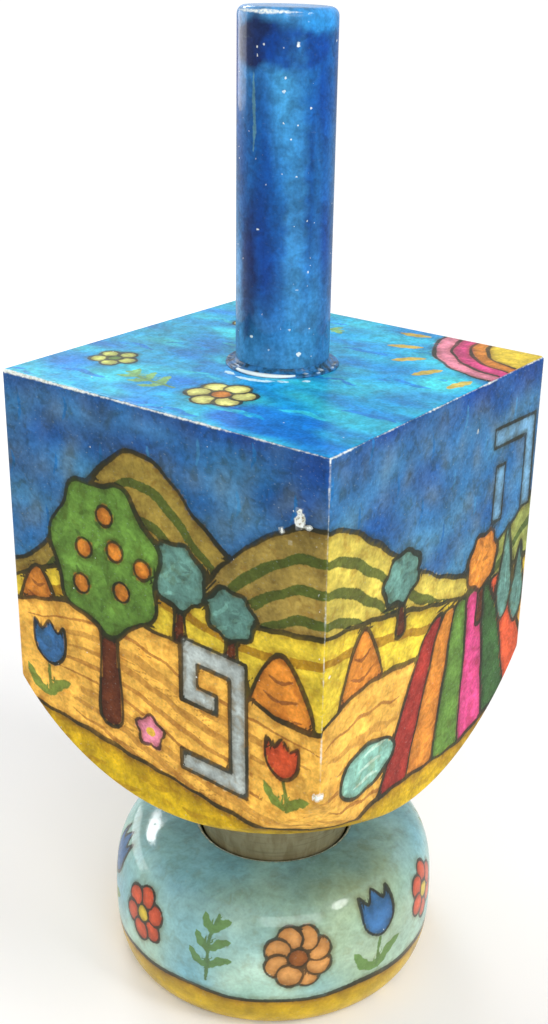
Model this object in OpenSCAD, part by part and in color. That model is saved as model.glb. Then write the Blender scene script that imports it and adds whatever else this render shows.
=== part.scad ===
// Dreidel on its turned stand. Millimetres, +Z up along the spin axis.
// The origin is the centre of the stand's flat base, on the table.
// The letter faces of the block look along -Y, +X, +Y and -X.

/* [Block] */
// Width of the square block across its flat faces
block_w = 50; // [42:1:56]
// Radius of the ball that the lower half of the block is turned to
turned_r = 40.7; // [38:0.1:46]
// Depth of that ball's centre below the top face
turned_drop = 22.7; // [14:0.1:30]
// Rounding of the four upright arrises
arris_r = 0.5; // [0.2:0.1:2]

/* [Handle] */
// Diameter of the dowel handle
handle_d = 12; // [8:0.5:18]
// Height of the handle above the top face
handle_reach = 43; // [20:1:70]
// Length of the tenon glued into the block
handle_tenon = 22; // [12:1:26]
// Width of the shoulder where the handle narrows to its tenon
handle_shoulder = 1; // [0.5:0.1:2]
// Easing of the handle's lower edge, inside the bead of glue
foot_ease = 0.3; // [0.1:0.1:0.4]
// Rounding of the handle's top edge
handle_round = 1; // [0.3:0.1:2]

/* [Glue] */
// Thickness of the glue film around each tenon
glue_t = 0.1; // [0.05:0.05:0.2]
// Width of the bead of glue around the foot of the handle
bead_w = 1.4; // [0.6:0.1:2.5]
// Height of that bead up the handle
bead_h = 1; // [0.5:0.1:2]

/* [Tip] */
// How much the root of the spinning tip is wider than the socket, on the radius
tip_flare = 1.9; // [1:0.1:4]
// Height of the tip that shows between the stand and the block
tip_collar = 8.15; // [5:0.05:12]
// Length of the tip's tapered flank inside the socket
tip_sunk = 3.8; // [2:0.1:6]
// Height of the pointed nose below the flank
nose_h = 7.7; // [4:0.1:8]
// Radius of the point that the dreidel spins on
point_r = 1.5; // [0.5:0.1:2.5]
// Diameter of the tenon glued into the block
tip_tenon_d = 10; // [6:0.5:14]
// Length of that tenon
tip_tenon = 16; // [8:1:20]

/* [Stand] */
// Height of the stand
stand_h = 19.6; // [17:0.1:26]
// Widest diameter of the stand
stand_d = 47; // [44:0.5:60]
// Height at which the stand is widest
belly_h = 8.4; // [6:0.1:11]
// Diameter of the flat base
base_d = 41; // [34:0.5:43]
// Width of the flat rim around the socket
rim_w = 5.4; // [3:0.1:7]
// Diameter of the socket that the tip stands in
socket_d = 22.2; // [18:0.2:25]
// Thickness of wood under the socket
socket_floor = 3; // [2:0.1:4]
// Width of the small bevel at the mouth of the socket
mouth_bevel = 0.4; // [0.2:0.1:1]
// Fullness of the shoulder above the belly, where 2 is an ellipse
shoulder_share = 2.9; // [2:0.1:4]
// Fullness of the curve below the belly, where 2 is an ellipse
foot_share = 2.5; // [2:0.1:4]

/* [Fits] */
// Gap on each side of a glue film
film_gap = 0.05; // [0.03:0.01:0.08]
// Gap between the tip's flank and the mouth of the socket
seat_gap = 0.15; // [0.1:0.05:0.3]
// Spare depth of each bore past the end of its tenon
bore_spare = 0.5; // [0.3:0.1:1]

/* [Hidden] */
$fn = 96;
// How far a cut runs past the face that it opens
over = 1;
// Steps along each rounded stretch of the stand's outline
curve_steps = 14;

handle_r = handle_d / 2;
handle_tenon_r = handle_r - handle_shoulder;
socket_r = socket_d / 2;
tip_tenon_r = tip_tenon_d / 2;
tip_root_r = socket_r + tip_flare;
tip_seat_r = socket_r - seat_gap;
tip_taper_share = (tip_root_r - tip_seat_r) / tip_collar;
nose_r = tip_seat_r - tip_sunk * tip_taper_share;

tip_root_z = stand_h + tip_collar;
nose_z = stand_h - tip_sunk;
point_z = nose_z - nose_h;
ball_z = tip_root_z + sqrt(pow(turned_r, 2) - pow(tip_root_r, 2));
block_top_z = ball_z + turned_drop;

// Radius of the bore that leaves room for a tenon, its film and both gaps
function bore_r(tenon_r) = tenon_r + glue_t + 2 * film_gap;

// Points of a full curve from (r0, z0), level with its end, to the widest place (r1, z1)
function full_curve(r0, z0, r1, z1, share) = [
    for (i = [0:curve_steps])
        let (turn = 90 * i / curve_steps)
        [r0 + (r1 - r0) * pow(sin(turn), 2 / share),
         z1 + (z0 - z1) * pow(cos(turn), 2 / share)]
];

// The list in the opposite order
function reversed(points) = [for (i = [len(points) - 1:-1:0]) points[i]];

// Square with rounded corners, centred on the axis
module rounded_square(width, round_r) {
    inner = width - 2 * round_r;
    square([width, inner], center = true);
    square([inner, width], center = true);
    for (sx = [-1, 1], sy = [-1, 1])
        translate([sx * inner / 2, sy * inner / 2])
            circle(r = round_r);
}

// Bore on the axis between two heights
module bore(radius, low, high) {
    translate([0, 0, low])
        cylinder(r = radius, h = high - low);
}

// Glue film around a tenon between two heights
module glue_film(tenon_r, low, high) {
    translate([0, 0, low])
        difference() {
            cylinder(r = tenon_r + film_gap + glue_t, h = high - low);
            bore(tenon_r + film_gap, -over, high - low + over);
        }
}

// Square block whose lower half is turned to a ball, with a bore for each tenon
module block() {
    color("steelblue")
        difference() {
            intersection() {
                translate([0, 0, tip_root_z])
                    linear_extrude(block_top_z - tip_root_z)
                        rounded_square(block_w, arris_r);
                union() {
                    translate([0, 0, ball_z])
                        sphere(r = turned_r);
                    translate([0, 0, ball_z])
                        cylinder(r = turned_r, h = turned_drop + over);
                }
            }
            bore(bore_r(handle_tenon_r), block_top_z - handle_tenon - bore_spare, block_top_z + over);
            bore(bore_r(tip_tenon_r), tip_root_z - over, tip_root_z + tip_tenon + bore_spare);
        }
}

// Dowel handle with a shouldered tenon, an eased foot and a rounded top edge
module handle() {
    color("royalblue")
        translate([0, 0, block_top_z])
            rotate_extrude() {
                translate([0, -handle_tenon])
                    square([handle_tenon_r, handle_tenon]);
                polygon([[0, 0], [handle_r - foot_ease, 0], [handle_r, bead_h], [0, bead_h]]);
                translate([0, bead_h])
                    square([handle_r, handle_reach - handle_round - bead_h]);
                translate([0, bead_h])
                    square([handle_r - handle_round, handle_reach - bead_h]);
                translate([handle_r - handle_round, handle_reach - handle_round])
                    circle(r = handle_round);
            }
}

// Hidden glue around the handle's tenon
module handle_glue_film() {
    color("wheat")
        glue_film(handle_tenon_r, block_top_z - handle_tenon, block_top_z - film_gap);
}

// Clear bead of glue around the foot of the handle, hollow like a fillet
module glue_bead() {
    lip = film_gap;
    cove = [
        for (i = [0:curve_steps])
            let (turn = 90 * i / curve_steps)
            [bead_w - (bead_w - lip) * cos(turn), bead_h - (bead_h - lip) * sin(turn)]
    ];
    color("lightcyan")
        rotate_extrude()
            translate([handle_r + film_gap, block_top_z])
                polygon(concat([[-foot_ease, 0], [0, bead_h]], cove, [[bead_w, 0]]));
}

// Turned tip with its tenon, a tapered flank that sits on the socket's mouth, and a point
module spinning_tip() {
    rise = nose_h - point_r;
    lean = atan2(rise, nose_r) - acos(point_r / norm([rise, nose_r]));
    touch = [point_r * cos(lean), point_z + point_r + point_r * sin(lean)];
    color("burlywood")
        rotate_extrude() {
            polygon([
                [0, touch[1]],
                touch,
                [nose_r, nose_z],
                [tip_root_r, tip_root_z],
                [0, tip_root_z]
            ]);
            translate([0, tip_root_z])
                square([tip_tenon_r, tip_tenon]);
            intersection() {
                translate([0, point_z + point_r])
                    circle(r = point_r);
                translate([0, point_z])
                    square(2 * point_r);
            }
        }
}

// Hidden glue around the tip's tenon
module tip_glue_film() {
    color("wheat")
        glue_film(tip_tenon_r, tip_root_z + film_gap, tip_root_z + tip_tenon);
}

// Turned stand with a full belly, a flat rim and the socket for the tip
module stand() {
    belly_r = stand_d / 2;
    shoulder = full_curve(socket_r + rim_w, stand_h, belly_r, belly_h, shoulder_share);
    foot = full_curve(base_d / 2, 0, belly_r, belly_h, foot_share);
    color("lightblue")
        difference() {
            rotate_extrude()
                polygon(concat([[0, 0]], foot, reversed(shoulder), [[0, stand_h]]));
            bore(socket_r, socket_floor, stand_h + over);
            translate([0, 0, stand_h - mouth_bevel])
                cylinder(r1 = socket_r, r2 = socket_r + mouth_bevel + over, h = mouth_bevel + over);
        }
}

block();
handle();
handle_glue_film();
glue_bead();
spinning_tip();
tip_glue_film();
stand();
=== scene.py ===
import math

import bpy
import numpy as np
from mathutils import Matrix, Vector, noise


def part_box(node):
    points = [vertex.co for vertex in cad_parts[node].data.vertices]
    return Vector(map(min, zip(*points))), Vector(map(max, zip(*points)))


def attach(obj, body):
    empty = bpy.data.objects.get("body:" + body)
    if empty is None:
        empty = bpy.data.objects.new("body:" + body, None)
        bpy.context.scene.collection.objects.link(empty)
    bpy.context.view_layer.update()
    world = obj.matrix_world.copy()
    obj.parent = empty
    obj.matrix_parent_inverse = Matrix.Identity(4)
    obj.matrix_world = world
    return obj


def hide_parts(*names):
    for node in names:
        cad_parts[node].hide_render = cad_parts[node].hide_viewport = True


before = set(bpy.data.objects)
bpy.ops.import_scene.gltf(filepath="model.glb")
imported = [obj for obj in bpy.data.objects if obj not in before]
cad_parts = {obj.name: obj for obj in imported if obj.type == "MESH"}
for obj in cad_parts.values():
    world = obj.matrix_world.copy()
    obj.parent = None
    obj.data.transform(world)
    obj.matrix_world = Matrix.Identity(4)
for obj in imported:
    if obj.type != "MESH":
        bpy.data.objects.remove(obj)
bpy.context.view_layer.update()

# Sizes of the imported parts, in millimetres
MM = 0.001
block_low, block_high = [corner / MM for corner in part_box("block")]
_, stand_high = [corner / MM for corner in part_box("stand")]
handle_low, handle_high = [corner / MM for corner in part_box("handle")]
_, bead_high = [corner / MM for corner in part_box("glue_bead")]
tip_low, tip_high = [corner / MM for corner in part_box("spinning_tip")]
HALF_W = block_high.x
TOP_Z = block_high.z
ROOT_Z = block_low.z
BALL_R = 40.7
BALL_Z = TOP_Z - 22.7
TIP_ROOT_R = 13.0
TENON_BORE_R = 5.2
ARRIS_R = 0.6
ARRIS_END_Z = 46.2
HANDLE_BORE = 22.5
TIP_BORE = 16.5
HANDLE_R = handle_high.x
HANDLE_TENON_R = 5.0
TIP_TENON_R = 5.0
NOSE_R = 9.99
NOSE_Z = 15.8
POINT_R = 1.5
RIM_Z = stand_high.z
BELLY_R = stand_high.x
BELLY_Z = 8.4
BASE_R = 20.5
RIM_R = 16.5
SOCKET_R = 11.1
SOCKET_Z = 3.0

# Camera fitted to the photograph, whose frame is 548 by 1024 pixels
CAMERA_AT = Vector((99.43, -134.79, 138.78)) * MM
CAMERA_TURN = 34.633
CAMERA_RISE = 22.818
CAMERA_ROLL = 1.652
LENS = 47.49
SHIFT_X = -0.0435
SHIFT_Y = -0.0006

# A distance that stands for no line near, in millimetres
FAR = 9.0
NO_LINE = (FAR, 0.0, 0.0)


def rgb(red, green, blue):
    """A paint written as 0 to 255, as the light that it gives back."""
    channels = np.array([red, green, blue]) / 255
    return np.where(channels <= 0.04045, channels / 12.92, ((channels + 0.055) / 1.055) ** 2.4)


SKY = rgb(26, 98, 156)
DEEP_SKY = rgb(10, 58, 134)
PALE_SKY = rgb(74, 136, 172)
TOP_BLUE = rgb(14, 158, 214)
TOP_PALE = rgb(66, 208, 218)
TOP_DEEP = rgb(10, 112, 206)
HANDLE_BLUE = rgb(12, 88, 156)
NAVY = rgb(8, 26, 78)
DEEP_BLUE = rgb(4, 62, 140)
HANDLE_PALE = rgb(62, 142, 190)
YELLOW = rgb(208, 174, 14)
OCHRE = rgb(160, 116, 12)
WHEAT = rgb(222, 194, 54)
TAN = rgb(238, 182, 76)
BROWN = rgb(150, 88, 34)
TRUNK = rgb(106, 52, 22)
OLIVE = rgb(152, 130, 54)
DRY_GRASS = rgb(150, 128, 60)
MOSS = rgb(58, 80, 24)
GREEN = rgb(96, 136, 52)
DARK_GREEN = rgb(46, 82, 36)
SEA_GREEN = rgb(104, 152, 140)
TURQUOISE = rgb(142, 196, 178)
STAND_GREEN = rgb(146, 186, 170)
STAND_PALE = rgb(184, 216, 198)
STAND_BLUE = rgb(104, 166, 186)
ORANGE = rgb(220, 138, 46)
PEACH = rgb(204, 146, 80)
RED = rgb(164, 48, 36)
CORAL = rgb(214, 86, 44)
PINK = rgb(216, 70, 132)
ROSE = rgb(230, 140, 162)
FLOWER_BLUE = rgb(58, 112, 166)
SILVER = rgb(170, 180, 176)
# Pale colour of rubbed paint, also used for the highlights painted along edges
WEAR_AND_HIGHLIGHT = rgb(216, 222, 200)
CHALK = rgb(236, 242, 236)
FLECK = rgb(150, 168, 164)
CHIP_WOOD = rgb(146, 128, 96)
SOCKET_WOOD = rgb(176, 150, 104)
INK = rgb(26, 28, 12)


def mix(a, b, share):
    """Between two paints, where share may differ from point to point."""
    return a + (b - a) * np.clip(share, 0, 1)[..., None]


def hand(points, closed=False, wobble=0.12, steps=7):
    """A smooth line through given points, with the slight unevenness of a brush."""
    p = np.array(points, float)
    ends = (p[-1:], p[:2]) if closed else (2 * p[:1] - p[1:2], 2 * p[-1:] - p[-2:-1])
    q = np.concatenate([ends[0], p, ends[1]])
    t = np.arange(steps)[:, None] / steps
    line = []
    for a, b, c, d in zip(q[:-3], q[1:-2], q[2:-1], q[3:]):
        line.append(0.5 * (2 * b + (c - a) * t + (2 * a - 5 * b + 4 * c - d) * t ** 2
                           + (3 * b - a - 3 * c + d) * t ** 3))
    line = np.concatenate(line + ([] if closed else [p[-1:]]))
    along = np.cumsum(np.linalg.norm(np.diff(line, axis=0, prepend=line[:1]), axis=1))
    phase = p[0, 0] * 1.7 + p[0, 1] * 2.3
    sway = np.stack([np.sin(0.9 * along + phase), np.sin(1.3 * along + 2 * phase)], 1)
    return line + wobble * sway


def ring(u, v, width, height, lobes=0, depth=0.0, turn=0.0, count=14):
    """Points of a rounded outline with soft lobes."""
    count = max(count, 4 * lobes)
    angle = np.arange(count) * math.tau / count
    reach = 1 + depth * np.cos(lobes * angle + turn)
    return np.stack([u + width / 2 * reach * np.cos(angle), v + height / 2 * reach * np.sin(angle)], 1)


class Painting:
    """Paint on a surface, kept for each of its points, whose places u and v are in millimetres.

    paint is the ground coat and tint the colour of the brush strokes on it. Each way is the step
    to the middle of the nearest stroke or ink line, with half its width as the third number, and
    each gap is the distance to its edge, below zero inside it."""

    KEPT = ("paint", "tint", "tint_way", "tint_gap", "ink_way", "ink_gap")
    # How far past its own width a line is looked for, and past its edge a brush stroke is kept
    INK_REACH = 1.5
    STROKE_REACH = 1.2
    STROKE_EDGE = 1.0

    def __init__(self, u, v, ground):
        self.u = u
        self.v = v
        self.place = np.stack([u, v], 1)
        self.paint = np.tile(ground, (len(u), 1))
        self.tint = self.paint.copy()
        self.tint_way = np.tile(NO_LINE, (len(u), 1))
        self.tint_gap = np.full(len(u), FAR)
        self.ink_way = self.tint_way.copy()
        self.ink_gap = self.tint_gap.copy()

    def near(self, line, reach):
        """The points within reach of the line's box."""
        low, high = line.min(0) - reach, line.max(0) + reach
        return np.flatnonzero(((self.place > low) & (self.place < high)).all(1))

    def way(self, pick, line):
        """From each picked point: the step to the line, its length, and the place on the line."""
        here = self.place[pick][:, None]
        start, step = line[:-1], np.diff(line, axis=0)
        squared = (step ** 2).sum(1) + 1e-12
        t = np.clip(((here - start) * step).sum(2) / squared, 0, 1)
        steps_to = start + t[..., None] * step - here
        apart = np.linalg.norm(steps_to, axis=2)
        nearest = apart.argmin(1)
        rows = np.arange(len(pick))
        along = (nearest + t[rows, nearest]) / len(step)
        return steps_to[rows, nearest], apart[rows, nearest], along

    def inside(self, pick, outline):
        """Which of the picked points lie inside a closed outline."""
        u, v = self.place[pick].T[..., None]
        a, b = outline, np.roll(outline, -1, 0)
        rise = np.where(b[:, 1] == a[:, 1], 1e-12, b[:, 1] - a[:, 1])
        level = (a[:, 1] > v) != (b[:, 1] > v)
        crossed = level & (u < (b[:, 0] - a[:, 0]) * (v - a[:, 1]) / rise + a[:, 0])
        return crossed.sum(1) % 2 == 1

    def clear_strokes(self, pick):
        """Takes brush strokes off the picked points."""
        self.tint_way[pick] = NO_LINE
        self.tint_gap[pick] = FAR

    def rub(self, line, reach):
        """Takes brush strokes off the points within reach of a line."""
        pick = self.near(line, reach)
        _, apart, _ = self.way(pick, line)
        self.clear_strokes(pick[apart < reach])

    def lay(self, line, reach, half_at, ways, gaps, edge=FAR):
        """Keeps a line where it is the nearest of its kind, and gives the points where it is."""
        pick = self.near(line, reach)
        way, apart, along = self.way(pick, line)
        half = half_at(along)
        gap = apart - half
        wins = gap < np.minimum(gaps[pick], edge)
        pick = pick[wins]
        ways[pick] = np.concatenate([way, half[:, None]], 1)[wins]
        gaps[pick] = gap[wins]
        return pick

    def ink(self, line, width=0.7):
        """An ink line whose width varies a little along it."""
        def half_at(along):
            sway = 0.22 * np.sin(11 * along + line[0, 0]) + 0.12 * np.sin(29 * along + line[0, 1])
            return width / 2 * (1 + sway)

        self.lay(line, width + self.INK_REACH, half_at, self.ink_way, self.ink_gap)

    def fill(self, outline, colour, edge=None, line=0.7, edge_w=1.6):
        """A closed shape, darker towards its edge, with an ink outline unless line is 0.

        A shape with no point inside it leaves no outline either."""
        pick = self.near(outline, 0.5)
        pick = pick[self.inside(pick, outline)]
        if len(pick) == 0:
            return
        closed = np.concatenate([outline, outline[:1]])
        _, apart, _ = self.way(pick, closed)
        shade = colour * 0.72 if edge is None else edge
        self.paint[pick] = mix(colour, shade, 0.75 * np.exp(-(apart / edge_w) ** 1.5))
        patches = patchy(self.u[pick], self.v[pick], 2.4, 9 * float(colour[0]) + outline[0, 0])
        self.paint[pick] *= 1 + 0.42 * (patches[:, None] - 0.5)
        self.clear_strokes(pick)
        self.ink_way[pick] = NO_LINE
        self.ink_gap[pick] = FAR
        if line:
            self.ink(closed, line)

    def shape(self, points, colour, wobble=0.12, steps=7, **look):
        """A closed shape drawn by hand through points."""
        self.fill(hand(points, closed=True, wobble=wobble, steps=steps), colour, **look)

    def stroke(self, line, colour, width=1.0, taper=0.75):
        """A brush stroke, thinner at its two ends."""
        def half_at(along):
            swell = 1 + 0.15 * np.sin(17 * along + line[0, 0])
            return width / 2 * (1 - taper * np.abs(2 * along - 1) ** 3) * swell

        pick = self.lay(line, width + self.STROKE_REACH, half_at, self.tint_way, self.tint_gap,
                        self.STROKE_EDGE)
        self.tint[pick] = colour

    def wash(self, amount, colour):
        """Blends a paint into the ground coat by an amount for each point."""
        self.paint = mix(self.paint, colour, amount)

    def patch(self, u, v, width, height, colour, amount, soft=0.5):
        """A soft, uneven patch of paint."""
        out = np.hypot((self.u - u) * 2 / width, (self.v - v) * 2 / height)
        pick = np.flatnonzero(out < 1.6)
        out = out[pick] + 0.35 * (patchy(self.u[pick], self.v[pick], min(width, height) / 3, u) - 0.5)
        share = amount * np.clip((1 - out) / soft + 0.5, 0, 1)
        self.paint[pick] = mix(self.paint[pick], colour, share)


def patchy(u, v, size, seed):
    """Soft patches from 0 to 1, about size millimetres across."""
    spots = [noise.noise(Vector((a / size + seed, b / size, seed))) for a, b in zip(u, v)]
    return np.clip(0.5 + 0.9 * np.array(spots), 0, 1)


def below(skyline, floor):
    """The closed outline between a skyline and a level floor."""
    return np.concatenate([skyline, [[skyline[-1, 0], floor], [skyline[0, 0], floor]]])


def hill(p, skyline, floor, colour, stripe=None, drops=()):
    """A hill, with terraces drawn at drops below its skyline."""
    top = hand(skyline)
    p.fill(below(top, floor), colour, edge=colour * 0.8, line=0, edge_w=3)
    p.ink(top, 0.66)
    for drop in drops:
        p.stroke(top - [0, drop], stripe, 1.25, taper=0.2)


def furrows(p, upper, lower, count):
    """Plough lines, thin and broad, between an upper and a lower edge of a field."""
    a, b = np.array(upper, float), np.array(lower, float)
    for k in range(count):
        line = hand(a + (b - a) * (k + 0.6) / count, wobble=0.25)
        cut = int(len(line) * (0.08 + 0.12 * ((k * 7) % 5) / 4))
        broad = (k * 3) % 4 / 3
        shade = mix(BROWN, TAN * 0.9, 0.2 + 0.4 * broad)
        p.stroke(line[cut:len(line) - cut // 2], shade, 0.5 + 0.8 * broad)


def placed(shape, u, v, width, height):
    """Points given in widths and heights, put at their place."""
    return np.array(shape) * (width, height) + (u, v)


def tree(p, u, v, height, spread, crown=GREEN, fruit=None, trunk_w=1.6):
    """A round tree with a brown trunk, leaf strokes and perhaps fruit."""
    crown_h = height * 0.62
    crown_v = v + height - crown_h / 2
    half, waist, lean = trunk_w / 2, trunk_w * 0.36, trunk_w * 0.25
    waist_v = v + height * 0.3
    trunk = [(u - half, v), (u - waist, waist_v), (u - half, crown_v), (u + half, crown_v),
             (u + waist + lean, waist_v), (u + half + lean, v)]
    p.shape(trunk, TRUNK, 0.05, 4, edge=TRUNK * 0.55, line=0.55)
    p.shape(ring(u, crown_v, spread, crown_h, 7, 0.07, u), crown, 0.1)

    def spot(turn, share):
        return u + spread * share * math.cos(turn), crown_v + crown_h * share * math.sin(turn)

    dabs = int(spread * 1.1)
    for k in range(dabs):
        turn = k * 2.4
        a, b = spot(turn, 0.37 * math.sqrt((k + 0.5) / dabs))
        du, dv = 0.8 * math.cos(turn * 1.7), 0.8 * math.sin(turn * 1.7)
        dab = hand([(a - du, b - dv), (a + 0.2, b + 0.1), (a + du, b + dv)], wobble=0, steps=4)
        p.stroke(dab, crown * (0.6, 1.35, 0.75)[k % 3], 0.6)
    for k in range(6 if fruit is not None else 0):
        a, b = spot(0.6 + k * 2.4, 0.36 * math.sqrt((k + 0.7) / 6))
        p.shape(ring(a, b, spread * 0.15, spread * 0.15, count=8), fruit, 0, line=0.4)


def cypress(p, u, v, height, width, colour):
    """A tall pointed tree."""
    side = ((0, 1), (0.32, 0.62), (0.5, 0.28), (0.2, 0), (-0.2, 0), (-0.5, 0.28), (-0.32, 0.62))
    p.shape(placed(side, u, v, width, height), colour, 0.08, 5, line=0.6)
    for k in range(3):
        a = u + width * (k - 1) * 0.2
        vein = [(a, v + height * 0.15), (a * 0.7 + u * 0.3, v + height * (0.6 + 0.08 * (k % 2)))]
        p.stroke(hand(vein, wobble=0.1), colour * 0.6, 0.45)


def haystack(p, u, v, width, height):
    """A round stack of hay with bands."""
    side = ((-0.5, 0), (-0.46, 0.5), (0, 1), (0.46, 0.5), (0.5, 0))
    p.shape(placed(side, u, v, width, height), ORANGE, 0.08, edge=ORANGE * 0.7, line=0.65)
    for k in range(3):
        level = v + height * (0.2 + 0.24 * k)
        reach = width * (0.38 - 0.09 * k)
        band = hand([(u - reach, level + 0.3), (u, level - 0.4), (u + reach, level + 0.3)])
        p.stroke(band, BROWN * 0.8, 0.5)


def fence(p, start, end, posts, height):
    """A brown fence with two rails."""
    a, b = np.array(start, float), np.array(end, float)
    for level in (0.35, 0.75):
        rail = np.array([a, b]) + [0, height * level]
        p.rub(rail, 2.2)
        p.stroke(rail, TRUNK * 1.3, 1.3, taper=0.1)
    side = ((-0.95, 0), (-0.95, 0.9), (0, 1.06), (0.95, 0.9), (0.95, 0))
    for k in range(posts):
        u, v = a + (b - a) * (k + 0.35) / (posts - 0.3)
        post = placed(side, u, v, 1, height)
        p.shape(post, TRUNK, 0.04, 3, edge=TRUNK * 0.6, line=0.55)


def leaf(foot, tip):
    """The middle line of a leaf, slightly bent."""
    foot, tip = np.array(foot, float), np.array(tip, float)
    side = np.array([foot[1] - tip[1], tip[0] - foot[0]]) * 0.12
    return hand([foot, (foot + tip) / 2 + side, tip], wobble=0.02)


def stem_and_leaves(p, stem, leaves, width, colour):
    """A stem and its leaves, brushed over the strokes that were there."""
    for line in [stem, *leaves]:
        p.rub(line, width / 2 + 1.0)
    p.stroke(stem, colour * 0.75, 0.55, taper=0.2)
    for line in leaves:
        p.stroke(line, colour, width, taper=0.85)


def tulip(p, u, v, size, colour, lean):
    """A tulip on its stem with two leaves."""
    top = np.array([u + lean * size, v + size * 0.68])
    stem = hand([(u, v), (u + 0.3 * lean * size, v + size * 0.35), top])
    left = leaf((u, v), (u - size * 0.38, v + size * 0.36))
    right = leaf((u + 0.2, v), (u + size * 0.4, v + size * 0.3))
    stem_and_leaves(p, stem, [left, right], size * 0.15, GREEN * 0.9)
    cup = ((-1, 1.5), (-0.95, 0), (0, -0.7), (0.95, 0), (1, 1.5), (0.52, 1.08), (0, 1.7), (-0.52, 1.08))
    p.shape(top + np.array(cup) * size * 0.27, colour, 0.04, 4, line=0.48)


def daisy(p, u, v, size, petals, colour=ORANGE, centre=YELLOW):
    """A flower with round petals, seen from the front."""
    for k in range(petals):
        turn = k * math.tau / petals + u
        a, b = u + size * 0.31 * math.cos(turn), v + size * 0.31 * math.sin(turn)
        p.shape(ring(a, b, size * 0.38, size * 0.38, count=8), colour, 0.03, 4, line=0.42, edge_w=0.9)
    p.shape(ring(u, v, size * 0.3, size * 0.3, count=8), centre, 0.02, 4, line=0.42, edge_w=0.6)


def blossom(p, u, v, size, colour):
    """A small flower drawn with one lobed outline."""
    p.shape(ring(u, v, size, size, lobes=5, depth=0.16, turn=u), colour, 0.03, 3, line=0.45, edge_w=0.9)
    p.stroke(np.array([(u - 0.15, v), (u + 0.15, v)]), YELLOW, size * 0.3, taper=0)


def sprig(p, u, v, length, angle, colour):
    """A stem with pairs of leaves."""
    way = np.array([math.cos(angle), math.sin(angle)])
    side = np.array([-way[1], way[0]])
    foot = np.array([u, v], float)
    stem = hand([foot, foot + way * length * 0.5 + side * 0.4, foot + way * length])
    leaves = []
    for k in range(3):
        base = foot + way * length * (0.22 + 0.27 * k)
        for hand_side in (-1, 1):
            tip = base + way * length * 0.2 + side * hand_side * length * (0.3 - 0.05 * k)
            leaves.append(leaf(base, tip))
    stem_and_leaves(p, stem, leaves, length * 0.12, colour)


def ripples(p, points, moves):
    """The same pale stroke on water, moved by each of some steps."""
    for move in moves:
        p.stroke(hand(np.add(points, move)), STAND_PALE, 0.5)


def letter(p, outline, colour=SILVER, line=0.62):
    """A letter in plain block form, outlined in ink."""
    p.fill(np.array(outline, float), colour, edge=colour * 0.75, line=line, edge_w=0.7)


def sky(p, seed):
    """Blue with darker and paler brushed patches, and darker along its upper edge."""
    u, v = p.u, p.v
    p.wash(0.9 * patchy(u, v * 1.6, 13, seed) * np.clip((v - 60) / 22, 0, 1), DEEP_SKY)
    p.wash(0.75 * patchy(u * 0.8, v * 1.4, 7, seed + 5) ** 1.5, PALE_SKY)
    p.wash(0.5 * patchy(u * 1.3, v, 4, seed + 8) ** 2, rgb(92, 112, 118))
    p.wash(np.clip((v - 84) / 5, 0, 1) * (0.25 + 0.6 * patchy(u, v * 2, 6, seed + 2)), DEEP_SKY)
    for k in range(26):
        a = -25 + (k * 17.3 + seed * 5) % 50
        b = 60 + (k * 11.9 + seed * 3) % 28
        shade = (SKY, PALE_SKY, SKY * 1.2)[k % 3]
        line = hand([(a - 0.3, b - 1.6), (a + 0.2, b), (a, b + 1.7)], wobble=0.15)
        p.stroke(line, mix(SKY, shade, 0.5), 0.5, taper=0.9)


def underside(p, edge):
    """The yellow underside below a dark line drawn by hand."""
    top = hand(edge, wobble=0.12)
    p.fill(below(top, ROOT_Z - 4), YELLOW, edge=OCHRE, line=0, edge_w=2.6)
    p.ink(top, 0.66)
    for k in range(9):
        a = -24 + k * 6
        b = float(np.interp(a, top[:, 0], top[:, 1])) - 2.2 - (k * 5) % 4
        p.stroke(hand([(a - 2.4, b), (a, b - 0.4), (a + 2.6, b + 0.2)]), mix(YELLOW, OCHRE, 0.6), 0.8)


def paint_pe_face(p):
    """The face along -Y: terraced hills, a fruit tree and a ploughed field."""
    sky(p, 1.0)
    hill(p, [(-27, 62), (-20, 66), (-14, 73), (-9, 79.5), (-4, 83), (1, 82), (6, 77.5), (12, 73),
             (18, 69), (27, 65)], 50, OLIVE, MOSS, (4, 8.5))
    hill(p, [(0, 62), (6, 67.5), (12, 74), (18, 78.5), (22, 80.2), (27, 80.6)], 50, DRY_GRASS, MOSS,
         (3.8, 7.6, 11.4))
    hill(p, [(-27, 60), (-19, 63.5), (-11, 67), (-3, 68.5), (5, 67.5), (14, 66), (27, 67.6)], 45, WHEAT,
         OCHRE, (3.5,))
    tree(p, 3.5, 59.2, 14, 8.5, SEA_GREEN)
    tree(p, 11.5, 59, 10.5, 7.5, SEA_GREEN * 0.85)
    haystack(p, 19, 53.2, 8.5, 10.3)
    haystack(p, -20.5, 55.2, 6.5, 8.3)
    hill(p, [(-27, 57), (-19, 59), (-10, 61), (-2, 60.4), (8, 59.1), (18, 55), (27, 55)], 30, TAN)
    furrows(p, [(-25, 56), (-8, 59.5), (8, 56), (26, 53.5)], [(-25, 44), (-8, 39), (8, 33), (26, 30)], 9)
    tree(p, -8.5, 45, 33, 18, GREEN, ORANGE, trunk_w=3.0)
    letter(p, [(3.8, 61), (13.9, 60.4), (14.2, 41.8), (3.8, 42.4), (3.8, 45), (11.6, 44.7), (11.4, 57.6),
               (6.4, 57.9), (6.4, 54.8), (9.4, 54.6), (9.4, 52), (3.8, 52.3)])
    tulip(p, -19.5, 44.5, 10, FLOWER_BLUE, 0.06)
    blossom(p, -1.5, 45.5, 4.4, ROSE)
    tulip(p, 20, 42.6, 8.6, CORAL, -0.08)
    underside(p, [(-27, 43.4), (-17.8, 42.3), (-10.5, 41.5), (-4.3, 40.6), (1.7, 40), (9.1, 39),
                  (16.3, 38.4), (27, 36.8)])


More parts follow.
